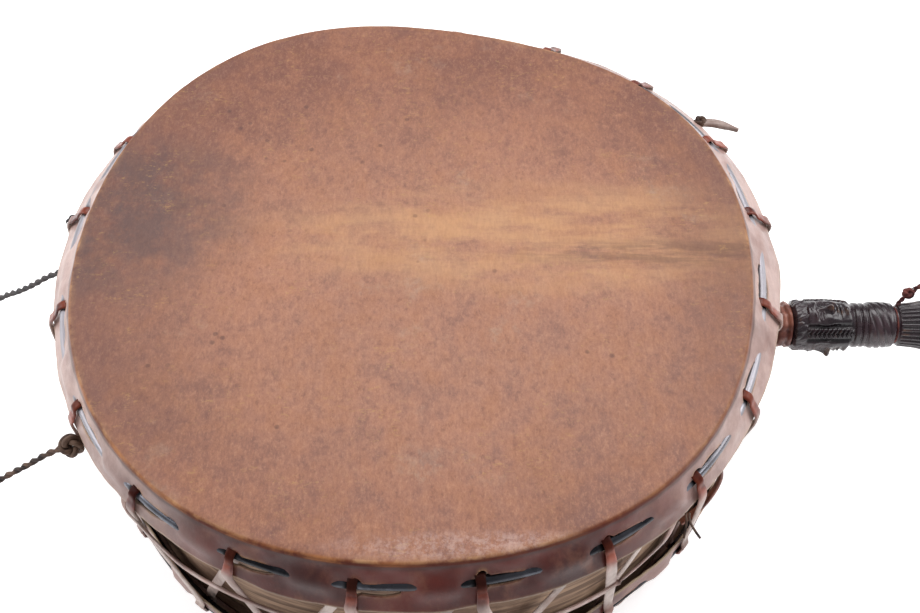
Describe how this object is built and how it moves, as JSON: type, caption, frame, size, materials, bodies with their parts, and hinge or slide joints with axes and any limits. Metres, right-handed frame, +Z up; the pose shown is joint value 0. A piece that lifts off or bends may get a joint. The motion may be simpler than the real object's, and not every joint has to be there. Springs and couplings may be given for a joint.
{
  "type": "ceremonial ritual drum",
  "caption": "Ceremonial frame drum with a laced hide head on each side, iron hoops, leather thongs and a carved dark wooden handle, lying flat.",
  "frame": {"origin": "middle of the lower head's flat underside, which the drum lies on", "axes": "+X along the handle away from the drum, +Z up through both heads"},
  "size_m": [0.9498, 0.4782, 0.162],
  "materials": {
    "head_hide": "stained rawhide, satin, worn and mottled",
    "frame_wood": "raw grey-brown bent wood",
    "handle_wood": "near-black, smoked and handled to a gloss",
    "hoop_iron": "dark, smooth, half gloss",
    "thong_leather": "flat cut rawhide thong, pale below and red-brown at the loops",
    "cord_fibre": "two-strand twisted cord",
    "wrist_leather": "thin dark thong"
  },
  "bodies": {
    "root": {"frame_ring": "frame_wood", "upper_head_skin": "head_hide", "lower_head_skin": "head_hide", "upper_hoop": "hoop_iron", "lower_hoop": "hoop_iron", "lacing_thong": "thong_leather", "waist_thong": "thong_leather", "carved_handle": "handle_wood", "handle_binding": "thong_leather", "side_cord": "cord_fibre", "side_cord_knot": "cord_fibre", "wrist_tie": "wrist_leather", "wrist_cord": "wrist_leather", "strap_end": "thong_leather"}
  },
  "joints": []
}
